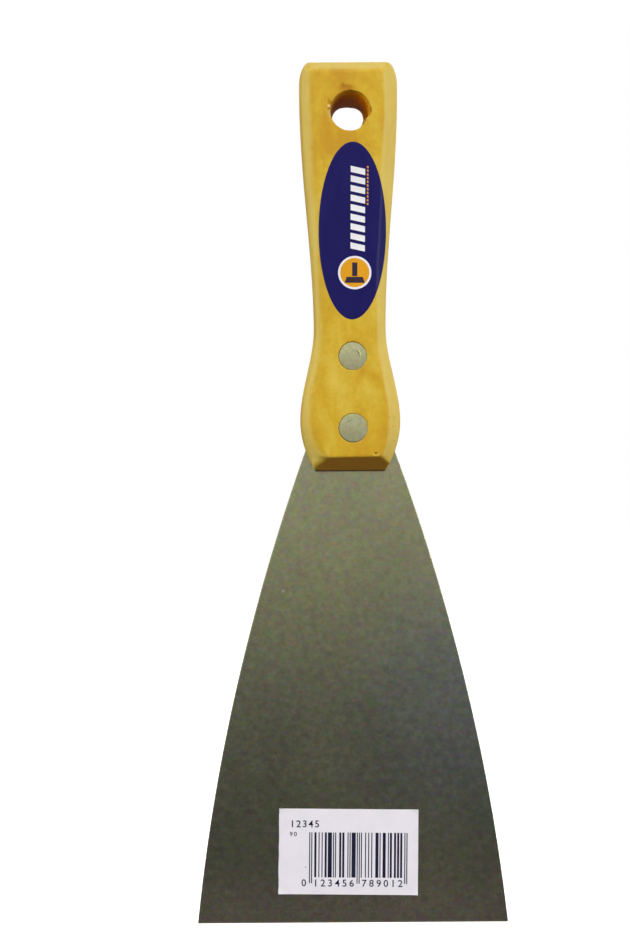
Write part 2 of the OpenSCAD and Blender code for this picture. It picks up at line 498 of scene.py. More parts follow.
@dataclass(frozen=True)
class SpringSteel:
    """Cold-rolled spring steel with a thin film of oil, ground along the working edge."""

    sheen: Colour = (0.640, 0.635, 0.430)
    shade: Colour = (0.430, 0.440, 0.305)
    plum: Colour = (0.530, 0.450, 0.450)
    moss: Colour = (0.465, 0.550, 0.290)
    blue_film: Colour = (0.97, 1.02, 1.38)
    # a painted reflection tint, yellower, on the upper blade
    reflected_yellow: Colour = (1.0, 0.99, 0.80)
    thin_film: Colour = (1.42, 1.22, 1.38)
    bare: Colour = (0.90, 0.95, 0.75)
    bright_line: Colour = (0.80, 0.79, 0.74)
    edge_z: float = -233.5
    grind: float = 3.3
    fleck: Point3 = (-19.6, 0.0, -137.1)

    def material(self) -> bpy.types.Material:
        """Mixes the finish.

        Returns:
            The blade's material.
        """
        s = Shader("spring_steel")
        spot = s.place()
        height = spot.axis("Z") - self.edge_z
        mottle = s.noise(s.place((0.75, 1.0, 1.0)), 0.50, 4.0, 0.70)
        grain = s.noise(spot, 3.0, 2.0, 0.7)
        colour = self.film(s, spot, height, self.rolled(s, spot, mottle))
        away = s.place((1.0, 0.0, 1.0)) - self.fleck
        colour = s.mix(away.size().fade(0.65, 0.25) * 0.5, colour, self.bare)
        # a slightly brighter line where the grinding starts, worn thin along its length
        line = abs(height - self.grind).fade(0.28, 0.05)
        worn = s.noise(s.place((0.25, 0.0, 0.0)), 1.0, 3.0, 0.7).fade(0.36, 0.62)
        colour = s.mix(line * worn * 0.55, colour, self.bright_line)
        scratch = s.noise(s.place((0.10, 1.0, 6.5)), 1.0, 2.0, 0.6)
        ground = height.fade(self.grind + 0.1, self.grind - 0.1)
        relief = grain * 0.7 + mottle * 0.5 + scratch * ground * 1.5
        return s.finish(
            Base_Color=colour,
            Metallic=1.0,
            Roughness=0.175 + mottle * 0.08 + (grain - 0.5) * 0.06 - ground * 0.03,
            Normal=s.bump(relief, 0.012, 0.6),
        )

    def rolled(self, s: Shader, spot: Wire, mottle: Wire) -> Wire:
        """The mottled colour that the rolling leaves.

        Args:
            s: The material under construction.
            spot: The point being shaded.
            mottle: The metal's mottling.

        Returns:
            The colour.
        """
        drift = s.noise(s.place((0.030, 0.03, 0.022)), 1.0, 2.0)
        grit = s.noise(spot, 1.5, 2.0, 0.6)
        tint = s.noise(s.place((0.6, 1.0, 1.0)) + (40.0, 0.0, 9.0), 0.45, 4.0, 0.70)
        cloud = drift * 0.55 + mottle * 0.34 + grit * 0.30
        colour = s.mix(cloud.fade(0.33, 0.87), self.shade, self.sheen)
        colour = s.mix(tint.fade(0.50, 0.68) * 0.5, colour, self.plum)
        colour = s.mix(tint.fade(0.50, 0.32) * 0.5, colour, self.moss)
        return colour * s.hues(spot, 0.62, (0.55, 0.60, 0.95))

    def film(self, s: Shader, spot: Wire, height: Wire, colour: Wire) -> Wire:
        """Tints the steel: a bluer band at the right, painted yellow reflection up high, thin at
        the edge.

        Args:
            s: The material under construction.
            spot: The point being shaded.
            height: Height above the working edge.
            colour: The steel's own colour.

        Returns:
            The tinted colour.
        """
        band = height.fade(18.0, 50.0) * height.fade(115.0, 80.0)
        for share, film in (
            (spot.axis("X").fade(-8.0, 30.0) * band, self.blue_film),
            # painted reflection: the steel is yellower high up, near the handle
            (height.fade(60.0, 100.0), self.reflected_yellow),
            (height.fade(22.0, 2.0), self.thin_film),
        ):
            colour = s.mix(share * 0.8, colour, colour * film)
        return colour


@dataclass(frozen=True)
class RivetMetal:
    """Dull, slightly tarnished metal with turning marks and fine dents."""

    bright: Colour = (0.620, 0.600, 0.345)
    dull: Colour = (0.500, 0.505, 0.275)
    # grime in specks, and painted shade on the heads' marks
    grime_and_shade: Colour = (0.120, 0.120, 0.050)
    # a painted highlight on the heads' marks
    painted_highlight: Colour = (0.900, 0.920, 0.640)

    def material(self) -> bpy.types.Material:
        """Mixes the finish.

        Returns:
            The rivets' material.
        """
        s = Shader("rivet_metal")
        spot = s.place()
        mottle = s.noise(spot, 0.9, 3.0, 0.6)
        grain = s.noise(spot, 5.0, 2.0, 0.7)
        brushed = s.noise(s.place((0.8, 1.0, 7.0)), 1.0, 2.0, 0.6)
        colour = s.mix(mottle.fade(0.32, 0.68), self.bright, self.dull)
        colour = s.mix(s.specks(spot, 1.1, 0.14) * 0.25, colour, self.grime_and_shade)
        colour = colour * s.hues(spot, 0.55, (0.30, 0.30, 0.75))
        # the marks' values paint the metal darker where positive and a highlight where negative
        wear = s.attribute("wear")
        colour = s.mix(wear.fade(0.0, 1.0), colour, self.grime_and_shade)
        colour = s.mix(wear.fade(0.0, -1.0), colour, self.painted_highlight)
        relief = grain * 0.5 + brushed * 0.5 + mottle * 0.9
        return s.finish(
            Base_Color=colour,
            Metallic=1.0,
            Roughness=0.36 + mottle * 0.16,
            Normal=s.bump(relief, 0.02, 0.5),
        )


@dataclass(frozen=True)
class PrintedFilm:
    """Smooth printed plastic film, with faint wrinkles and dust."""

    name: str
    colour: Colour
    worn: Colour
    rough: float = 0.38

    def material(self) -> bpy.types.Material:
        """Mixes the finish.

        Returns:
            The film's material.
        """
        s = Shader(self.name)
        wide = s.noise(s.place((0.2, 0.2, 0.08)), 1.0, 2.0)
        fine = s.noise(s.place(), 2.6, 3.0, 0.65)
        wear = wide.fade(0.35, 0.75) * 0.5 + fine.fade(0.52, 0.72) * 0.35
        return s.finish(
            Base_Color=s.mix(wear, self.colour, self.worn),
            Roughness=self.rough + fine * 0.12,
            Normal=s.bump(wide * 2.0 + fine * 0.3, 0.03, 0.4),
            Specular_IOR_Level=0.15,
        )


@dataclass(frozen=True)
class StickerPaper:
    """White coated paper with a faint tooth."""

    white: Colour = (0.815, 0.785, 0.850)
    shade: Colour = (0.760, 0.735, 0.800)

    def material(self) -> bpy.types.Material:
        """Mixes the finish.

        Returns:
            The paper's material.
        """
        s = Shader("sticker_paper")
        spot = s.place()
        tooth = s.noise(spot, 4.0, 3.0, 0.7)
        cloud = s.noise(spot, 0.16, 2.0)
        return s.finish(
            Base_Color=s.mix(cloud.fade(0.35, 0.7) * 0.6 + tooth * 0.2, self.white, self.shade),
            Roughness=0.52 + tooth * 0.12,
            Normal=s.bump(tooth + cloud * 3.0, 0.02, 0.35),
            Specular_IOR_Level=0.35,
        )


@dataclass(frozen=True)
class StudioPaint:
    """Seamless pale floor."""

    pale: Colour = (0.90, 0.90, 0.90)
    grey: Colour = (0.87, 0.87, 0.875)
    glow: float = 0.45

    def material(self) -> bpy.types.Material:
        """Mixes the finish.

        Returns:
            The floor's material.
        """
        s = Shader("studio_floor")
        cloud = s.noise(s.place((0.004, 0.004, 0.004)), 1.0, 2.0)
        return s.finish(
            Base_Color=s.mix(cloud * 0.3, self.pale, self.grey),
            Roughness=0.85 + cloud * 0.05,
            Specular_IOR_Level=0.1,
            Emission_Color=(1.0, 1.0, 1.0),
            Emission_Strength=self.glow,
        )


# ---- meshes


def ease(t: Array | float) -> Array | float:
    """Eases from 0 to 1 with no slope at either end."""
    t = np.clip(t, 0.0, 1.0)
    return t * t * (3.0 - 2.0 * t)


def meet(first: Array, second: Array, radius: float) -> Array:
    """Where two solids overlap, with a rounded edge.

    Args:
        first: One solid's distance field, negative inside.
        second: The other's.
        radius: The edge's radius.

    Returns:
        The overlap's field.
    """
    corner = np.hypot(np.maximum(first + radius, 0.0), np.maximum(second + radius, 0.0))
    return np.minimum(-radius, np.maximum(first, second)) + corner


def stations(low: float, high: float, coarse: float, fine: float, spans: Sequence[Point2]) -> Array:
    """Grid lines along one axis, closer together in some spans.

    Args:
        low: The first line.
        high: The last line, or a little before it.
        coarse: The usual spacing.
        fine: The spacing inside a span.
        spans: The spans with fine spacing.

    Returns:
        The lines.
    """
    lines = [low]
    while lines[-1] < high:
        close = any(a - coarse < lines[-1] < b for a, b in spans)
        lines.append(lines[-1] + (fine if close else coarse))
    return np.array(lines)


def skin(values: Array, axes: tuple[Array, Array, Array]) -> tuple[Array, Array]:
    """Skins the zero level of a field with quads, one point in each cell that it crosses.

    Args:
        values: The field on the grid, positive all round its border.
        axes: The grid's lines along X, Y and Z.

    Returns:
        Points and quads.
    """
    cells = np.array(values.shape) - 1
    owners, spots, quads = [], [], []
    for axis in range(3):
        count = values.shape[axis]
        start = np.take(values, np.arange(count - 1), axis)
        end = np.take(values, np.arange(1, count), axis)
        edge = np.argwhere((start < 0.0) != (end < 0.0))
        a, b = start[tuple(edge.T)], end[tuple(edge.T)]
        spot = np.stack([axes[k][edge[:, k]] for k in range(3)], axis=1)
        step = axes[axis][edge[:, axis] + 1] - axes[axis][edge[:, axis]]
        spot[:, axis] += step * a / (a - b)
        corners = []
        for du, dv in ((-1, -1), (0, -1), (0, 0), (-1, 0)):
            cell = edge.copy()
            cell[:, (axis + 1) % 3] += du
            cell[:, (axis + 2) % 3] += dv
            corners.append(np.ravel_multi_index(cell.T, cells))
            spots.append(spot)
        owners += corners
        quad = np.stack(corners, axis=1)
        quads.append(np.where((a > 0.0)[:, None], quad[:, ::-1], quad))
    used, index = np.unique(np.concatenate(owners), return_inverse=True)
    where = np.concatenate(spots)
    count = np.bincount(index)
    points = np.stack([np.bincount(index, where[:, k]) / count for k in range(3)], axis=1)
    return points, np.searchsorted(used, np.concatenate(quads))


def lattice_noise(spot: Spot, cell: Sequence[float], seed: int) -> Array:
    """Smooth random values between -1 and 1.

    Args:
        spot: Where they are read.
        cell: Distance between the random values along each axis.
        seed: Which set of values.

    Returns:
        The values.
    """
    period = 16
    table = np.random.default_rng(seed).uniform(-1.0, 1.0, (period,) * 3)
    scaled = [np.asarray(c, float) / s for c, s in zip(spot, cell)]
    whole = [np.floor(c).astype(int) for c in scaled]
    share = [ease(c - w) for c, w in zip(scaled, whole)]
    total = 0.0
    for corner in np.ndindex(2, 2, 2):
        weight = 1.0
        for bit, part in zip(corner, share):
            weight = weight * (part if bit else 1.0 - part)
        total = total + weight * table[tuple((w + bit) % period for w, bit in zip(whole, corner))]
    return total


def circle(around: int, radius: float = 1.0) -> tuple[Array, Array]:
    """Both coordinates of points round a circle, anticlockwise from the right."""
    turn = np.linspace(0.0, 2 * math.pi, around, endpoint=False)
    return radius * np.cos(turn), radius * np.sin(turn)


def show(name: str, data: bpy.types.ID) -> bpy.types.Object:
    """Puts a mesh, figures, a lamp or a camera in the scene.

    Args:
        name: The object's name.
        data: What it shows.

    Returns:
        The object.
    """
    made = bpy.data.objects.new(name, data)
    bpy.context.scene.collection.objects.link(made)
    return made


def baked(made: bpy.types.Object) -> bpy.types.Mesh:
    """Applies an object's modifiers, or turns its figures into a mesh.

    Args:
        made: The object, which stays as it is.

    Returns:
        The mesh.
    """
    bpy.context.view_layer.update()
    evaluated = made.evaluated_get(bpy.context.evaluated_depsgraph_get())
    return bpy.data.meshes.new_from_object(evaluated)


def piece(
    name: str,
    points: Array,
    faces: Iterable[Sequence[int]],
    replaces: str | None = None,
    crease: float = 40.0,
) -> bpy.types.Object:
    """Makes a smooth-shaded piece that rides on the knife.

    Args:
        name: The piece's name.
        points: Its points, in millimetres.
        faces: Its faces.
        replaces: The CAD node that it stands for.
        crease: Edges sharper than this many degrees stay sharp.

    Returns:
        The piece.
    """
    mesh = bpy.data.meshes.new(name)
    mesh.from_pydata((np.asarray(points) * MM).tolist(), [], [list(map(int, f)) for f in faces])
    mesh.validate()
    mesh.shade_smooth()
    mesh.set_sharp_from_angle(angle=math.radians(crease))
    made = show(name, mesh)
    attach(made, BODY)
    if replaces:
        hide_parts(replaces)
    log.info("%s: %d faces", name, len(mesh.polygons))
    return made


def note(made: bpy.types.Object, name: str, values: Array) -> None:
    """Stores one value for each of a piece's points, for its finish to read.

    Args:
        made: The piece.
        name: The attribute's name.
        values: The values.
    """
    mark = made.data.attributes.new(name, "FLOAT", "POINT")
    mark.data.foreach_set("value", np.asarray(values, dtype=np.float32))


def dress(made: bpy.types.Object, *materials: bpy.types.Material) -> None:
    """Gives a piece its materials.

    Args:
        made: The piece.
        *materials: Its materials in slot order.
    """
    made.data.materials.clear()
    for material in materials:
        made.data.materials.append(material)


def tube_faces(rings: int, around: int, close_ends: bool = True) -> list[list[int]]:
    """Quads between rings of points, each of which closes on itself.

    Args:
        rings: How many rings there are.
        around: Points in each.
        close_ends: Whether the first and last rings are filled.

    Returns:
        The faces.
    """
    faces = [
        [r * around + i, r * around + (i + 1) % around]
        + [(r + 1) * around + (i + 1) % around, (r + 1) * around + i]
        for r in range(rings - 1)
        for i in range(around)
    ]
    if close_ends:
        faces.append(list(range(around))[::-1])
        faces.append([(rings - 1) * around + i for i in range(around)])
    return faces


# ---- handle


@dataclass(frozen=True)
class Flank:
    """How the long bevels on one side of the handle came out of the sanding."""

    trim: float
    flare: float
    flare_top: float
    softness: float


@dataclass(frozen=True)
class Rivets:
    """Where the rivets go through the handle, their seats, and how the posts sit in them."""

    levels: tuple[float, float] = (12.3, 32.8)
    off_centre: float = 0.74
    seats: tuple[float, float] = (4.14, 4.04)
    seat_depth: float = 1.6
    play: float = 0.09
    slip: float = 0.06
    drops: Point2 = (0.05, -0.05)
    bore: float = 2.7


@dataclass(frozen=True)
class Chip:
    """A place where a tool tore a bit of wood out of the front."""

    x: float
    z: float
    wide: float
    tall: float
    deep: float
    tone: float = 0.5
    ragged: float = 0.35

    def reach(self, spot: Spot) -> Array:
        """How far places are from its middle.

        Args:
            spot: Places across, through and up, counted from where the chip's own are.

        Returns:
            The distances, as shares of its size.
        """
        x, y, z = spot
        over, up = (x - self.x) / self.wide, (z - self.z) / self.tall
        return np.sqrt(over**2 + up**2 + (y / self.deep) ** 2)


@dataclass(frozen=True)
class Coat:
    """A place where the varnish went on thicker, or thinner where its weight is negative."""

    x: float
    z: float
    half_w: float
    half_h: float
    weight: float
    slant: float = 0.0


@dataclass
class Handle:
    """The wooden handle: outline, bevels, hang hole, sawn slot and rivet seats."""

    nose_z: float
    length: float
    half_t: float
    nose_w: float = 20.0
    belly_w: float = 28.7
    belly_z: float = 14.5
    waist_w: float = 20.6
    waist_z: float = 41.0
    butt_w: float = 28.2
    butt_z: float = 108.0
    corner_w: float = 3.0
    corner_h: float = 6.0
    waist_bevel: float = 2.6
    belly_growth: float = 0.20
    butt_growth: float = 0.36
    # how the bevels waver: by how much, how often, and how far the right lags the left
    wavers: tuple[Point3, ...] = ((0.10, 0.21, 2.0), (0.06, 0.53, 1.0))
    flare_foot: float = 3.5
    left: Flank = Flank(trim=0.60, flare=4.6, flare_top=14.0, softness=1.3)
    right: Flank = Flank(trim=-0.10, flare=0.9, flare_top=12.0, softness=0.45)
    nose_bevel: float = 4.1
    nose_t: float = 6.0
    nose_skew: float = 0.014
    butt_bevel: float = 2.6
    butt_t: float = 15.6
    softness: float = 0.5
    nose_softness: float = 0.3
    hole_radius: float = 5.72
    hole_front: Point2 = (0.55, 0.22)
    hole_back: Point2 = (0.11, 0.40)
    hole_taper: float = 1.12
    hole_squareness: float = 0.8
    hole_lip: float = 1.10
    lip_angle: float = -0.66
    lip_span: float = 0.30
    hole_edge: float = 0.16
    slot_edge: float = 0.12
    seat_edge: float = 0.10
    slot_half: float = 0.45
    slot_top: float = 43.0
    rivets: Rivets = Rivets()
    pitch: float = 0.30
    coarse: Point3 = (0.40, 0.80, 0.95)
    # round the hang hole's front rim, with x and z counted from the hole's middle there
    chips: tuple[Chip, ...] = (
        Chip(-1.05, 6.45, 0.95, 0.50, 0.14, 0.33, 0.20),
        Chip(-0.80, 6.00, 0.60, 0.35, 0.14, 0.30, 0.20),
        Chip(-2.05, 7.00, 0.30, 0.40, 0.12, 0.28, 0.20),
        Chip(-6.20, 2.45, 0.16, 0.40, 0.14, 0.45),
        Chip(-5.55, 1.95, 0.24, 0.60, 0.30, 0.35),
        Chip(-5.95, 1.30, 0.20, 0.28, 0.12, 0.95, 0.15),
        Chip(-6.15, 0.55, 0.26, 0.26, 0.26, 0.28, 0.15),
        Chip(-5.95, -0.35, 0.22, 0.50, 0.10, 0.74, 0.20),
        Chip(5.60, 0.20, 0.38, 0.75, 1.60, 0.38),
        Chip(5.15, -1.10, 0.55, 0.65, 1.30, 0.42),
        Chip(4.55, -1.75, 0.40, 0.30, 0.60, 0.90, 0.20),
        Chip(4.05, -2.60, 0.32, 0.36, 0.50, 0.20),
        Chip(3.60, -3.40, 0.16, 0.32, 0.30, 0.12),
    )
    # just above the nose's bevel
    nick: Chip = Chip(7.2, 4.95, 0.85, 0.28, 0.60)
    coats: tuple[Coat, ...] = (
        Coat(-6.5, 100.5, 5.5, 11.0, 0.9),
        Coat(-2.5, 93.5, 6.0, 4.0, 0.9),
        Coat(-0.5, 112.5, 5.5, 3.5, 0.8),
        Coat(7.0, 113.5, 3.5, 2.5, 0.5),
        Coat(-9.0, 111.0, 2.0, 4.0, 0.4),
        Coat(7.5, 103.0, 2.0, 4.0, -0.5),
        Coat(-8.3, 87.0, 2.5, 6.0, 0.6),
        Coat(0.8, 40.0, 3.2, 5.5, 0.85, 0.1),
        Coat(-3.5, 45.0, 2.5, 4.0, 0.4),
        Coat(6.5, 27.0, 2.2, 4.5, 1.1, -0.8),
        Coat(-8.8, 11.5, 2.2, 5.0, 0.9, -0.2),
        Coat(9.0, 10.0, 2.5, 5.0, 0.6, 0.2),
        Coat(-5.5, 27.0, 3.5, 6.0, -0.5, -0.3),
    )
    # dark pores on the right bevel: x, z, size
    pits: tuple[tuple[float, float, float], ...] = (
        (10.9, 15.4, 0.45),
        (12.6, 15.3, 0.38),
        (12.6, 14.5, 0.30),
        (12.2, 12.8, 0.34),
        (12.5, 8.6, 0.42),
        (9.6, 11.9, 0.30),
    )

    @property
    def hole_z(self) -> float:
        """Height of the hang hole's axis above the nose."""
        return -self.nose_z

    def half_width(self, z: Array | float) -> Array | float:
        """Half the handle's width, without the butt's corners.

        Args:
            z: Height above the nose.

        Returns:
            The half width.
        """
        swell = 1 - (1 - np.clip(z / self.belly_z, 0.0, 1.0)) ** 2
        nose = self.nose_w + (self.belly_w - self.nose_w) * swell
        fall = ease((z - self.belly_z) / (self.waist_z - self.belly_z))
        waist = self.belly_w - (self.belly_w - self.waist_w) * fall
        rise = ease((z - self.waist_z) / (self.butt_z - self.waist_z))
        butt = self.waist_w + (self.butt_w - self.waist_w) * rise
        return np.where(z < self.belly_z, nose, np.where(z < self.waist_z, waist, butt)) / 2

    def bevel(self, x: Array | float, z: Array | float) -> Array | float:
        """Width of the long bevels, which were sanded by hand and waver a little.

        Args:
            x: Its sign tells the flank.
            z: Height above the nose.

        Returns:
            The width.
        """
        growth = np.where(np.asarray(z) < self.waist_z, self.belly_growth, self.butt_growth)
        grown = self.waist_bevel + (self.half_width(z) - self.waist_w / 2) * growth
        widths = []
        for phase, flank in enumerate((self.left, self.right)):
            low = np.maximum(z, self.flare_foot)
            flare = flank.flare * np.clip(1 - low / flank.flare_top, 0.0, 1.0) ** 2
            waver = sum(h * np.sin(z * turns + phase * lag) for h, turns, lag in self.wavers)
            widths.append(grown + flare + waver - flank.trim)
        return np.where(np.asarray(x) < 0, *widths)

    def blank(self, spot: Spot) -> Array:
        """The bevelled bar before anything is cut into it.

        Args:
            spot: Places across, through and up the handle.

        Returns:
            Its distance field, negative inside.
        """
        x, y, z = spot
        side, top, face = np.abs(x) - self.half_width(z), z - self.length, np.abs(y) - self.half_t
        # the butt's corners are elliptical
        u, v = side / self.corner_w + 1.0, top / self.corner_h + 1.0
        corner = (np.hypot(np.maximum(u, 0.0), np.maximum(v, 0.0)) - 1.0) * self.corner_w
        outline = np.where((u > 0) & (v > 0), corner, np.maximum(side, top))
        outline = np.maximum(outline, -z)
        level = z - self.nose_skew * x * (y < 0)
        faces = face
        for left, tall, thick, soft in (
            (-top, self.butt_bevel, self.butt_t, self.softness),
            (level, self.nose_bevel, self.nose_t, self.nose_softness),
        ):
            run = self.half_t - thick / 2
            slope = (tall * face + run * (tall - left)) / math.hypot(tall, run)
            faces = meet(faces, slope, soft)
        flank = (side + face + self.bevel(x, z)) / math.sqrt(2.0)
        soft = np.where(x < 0, self.left.softness, self.right.softness)
        return meet(meet(outline, faces, self.nose_softness), flank, soft)

    def off_drill(self, spot: Spot) -> Array:
        """Distance from the hang hole's axis, which the drill let drift towards the back.

        Args:
            spot: Places across, through and up the handle.

        Returns:
            The distance, grown where the hole is narrower than at the front.
        """
        x, y, z = spot
        deep = (y + self.half_t) / (2 * self.half_t)
        (x0, z0), (x1, z1) = self.hole_front, self.hole_back
        wobble = 0.06 * lattice_noise(spot, (1.6, 2.2, 1.6), 3)
        over, up = x - x0 - (x1 - x0) * deep, z - self.hole_z - z0 - (z1 - z0) * deep
        turn = (np.arctan2(up, over) - self.lip_angle) / self.lip_span
        swollen = self.hole_lip * np.exp(-(turn**2))
        # the bit broke out unevenly at the back, which left that end smaller and squarer
        power = 2.0 + self.hole_squareness * deep
        reach = (np.abs(over) ** power + np.abs(up) ** power) ** (1 / power)
        return reach + self.hole_taper * deep + wobble + swollen * (1 - deep)

    def torn(self, spot: Spot) -> tuple[Array, Array]:
        """The chips at the front rim of the hang hole.

        Args:
            spot: Places across, through and up the handle.

        Returns:
            A field that is negative in a chip, and the tone of the nearest chip.
        """
        x, y, z = spot
        ragged = lattice_noise(spot, (0.9, 0.7, 1.1), 11)
        ragged = ragged + 0.5 * lattice_noise(spot, (0.5, 0.8, 1.5), 5)
        missing = np.full(ragged.shape, 9.0)
        tone = np.zeros_like(missing)
        x0, z0 = self.hole_front
        near = (x - x0, y + self.half_t, z - self.hole_z - z0)
        for chip in self.chips:
            shape = chip.reach(near) - 1.0 + chip.ragged * ragged
            shape = shape * min(chip.wide, chip.tall, chip.deep)
            tone = np.where(shape < missing, chip.tone, tone)
            missing = np.minimum(missing, shape)
        return missing, tone

    def weathering(self, spot: Spot) -> tuple[Array, Array]:
        """Where the varnish is thick or thin, and where pores show.

        Args:
            spot: Places across, through and up the handle.

        Returns:
            The varnish, 0 where it is usual, and the pores, from 0 to 1.
        """
        x, y, z = spot
        over = x + 1.3 * lattice_noise(spot, (3.0, 6.0, 7.0), 21)
        up = z + 2.2 * lattice_noise(spot, (4.0, 6.0, 5.0), 22)
        soak, pit = np.zeros_like(x), np.zeros_like(x)
        for coat in self.coats:
            across = (over - coat.x - coat.slant * (up - coat.z)) / coat.half_w
            soak += coat.weight * np.exp(-(across**2) - ((up - coat.z) / coat.half_h) ** 2)
        for x0, z0, size in self.pits:
            pit += np.exp(-((x - x0) ** 2 + (z - z0) ** 2) / (size / 2) ** 2)
        back = ease((y + 2.0) / 4.0)
        return soak * (1 - back), np.clip(pit, 0.0, 1.0) * (y < 0)

    def surface_y(self, x: Array, z: Array) -> Array:
        """Depth of the blank's front surface.

        Args:
            x: Places across the handle.
            z: Heights above the nose.

        Returns:
            Y at each place.
        """
        low = np.full(np.broadcast_shapes(np.shape(x), np.shape(z)), -self.half_t - 0.5)
        high = np.zeros_like(low)
        halvings = 40
        for _ in range(halvings):
            middle = (low + high) / 2
            out = self.blank((x, middle, z)) > 0
            low, high = np.where(out, middle, low), np.where(out, high, middle)
        return high

    def grid(self) -> Spot:
        """The grid that the handle is carved on, finest at its details.

        Returns:
            Its lines along X, Y and Z.
        """
        edge = 3 * self.pitch
        across, outer, top = self.belly_w / 2 + edge, self.half_t + edge, self.length + edge
        bores = [(-6.8, 7.2)]
        faces_and_slot = [(-outer, -5.5), (-1.1, 1.1), (5.5, outer)]
        busy = [(z - 5.2, z + 5.2) for z in self.rivets.levels]
        busy += [(-edge, 6.0), (self.hole_z - 8.5, self.hole_z + 8.8), (self.length - 3.5, top)]
        coarse_x, coarse_y, coarse_z = self.coarse
        xs = stations(-across, across, coarse_x, self.pitch, bores)
        ys = stations(-outer, outer, coarse_y, self.pitch * 1.1, faces_and_slot)
        return xs, ys, stations(-edge, top, coarse_z, self.pitch, busy)

    def carved(self, spot: Spot) -> Array:
        """The handle with everything cut into it.

        Args:
            spot: Places across, through and up the handle.

        Returns:
            Its distance field, negative inside.
        """
        x, y, z = spot
        solid = meet(self.blank(spot), self.hole_radius - self.off_drill(spot), self.hole_edge)
        slot = np.minimum(self.slot_half - np.abs(y), self.slot_top - z)
        solid = meet(solid, slot, self.slot_edge)
        floor = np.abs(y) - self.half_t + self.rivets.seat_depth
        for level, seat in zip(self.rivets.levels, self.rivets.seats):
            out = np.hypot(x - self.rivets.off_centre, z - level)
            solid = np.maximum(solid, self.rivets.bore - out)
            solid = meet(solid, np.minimum(seat - out, floor), self.seat_edge)
        solid = np.maximum(solid, -self.torn(spot)[0])
        return np.maximum(solid, (1.0 - self.nick.reach((x, y + self.half_t, z))) * 0.3)

    def build(self) -> None:
        """Shapes and dresses the handle."""
        xs, ys, zs = self.grid()
        solid = self.carved((xs[:, None, None], ys[None, :, None], zs[None, None, :]))
        points, faces = skin(solid, (xs, ys, zs))
        spot = tuple(points.T)
        deep = self.half_t - np.abs(spot[1])
        chipped, tone = self.torn(spot)
        # raw wood shows in the chips and just past them, and the drilled wall inside the rims
        raw = np.clip(1.25 - np.abs(chipped) / 0.2, 0.0, 1.0) * (spot[1] < -self.half_t + 3.0)
        wall = (self.off_drill(spot) < self.hole_radius + 0.14) & (deep > 0.08)
        soak, pit = self.weathering(spot)
        points = points + (0.0, 0.0, self.nose_z)
        made = piece("Handle", points, faces, "handle", 55.0)
        marks = {"torn": raw, "tone": tone, "drilled": wall, "soak": soak, "pit": pit}
        for name, values in marks.items():
            note(made, name, values)
        finish = VarnishedWood(nose_z=self.nose_z)
        dress(made, finish.material(), finish.material(bare=True))
        bare = wall[faces].all(axis=1).astype(np.int32)
        made.data.polygons.foreach_set("material_index", bare)


# ---- blade


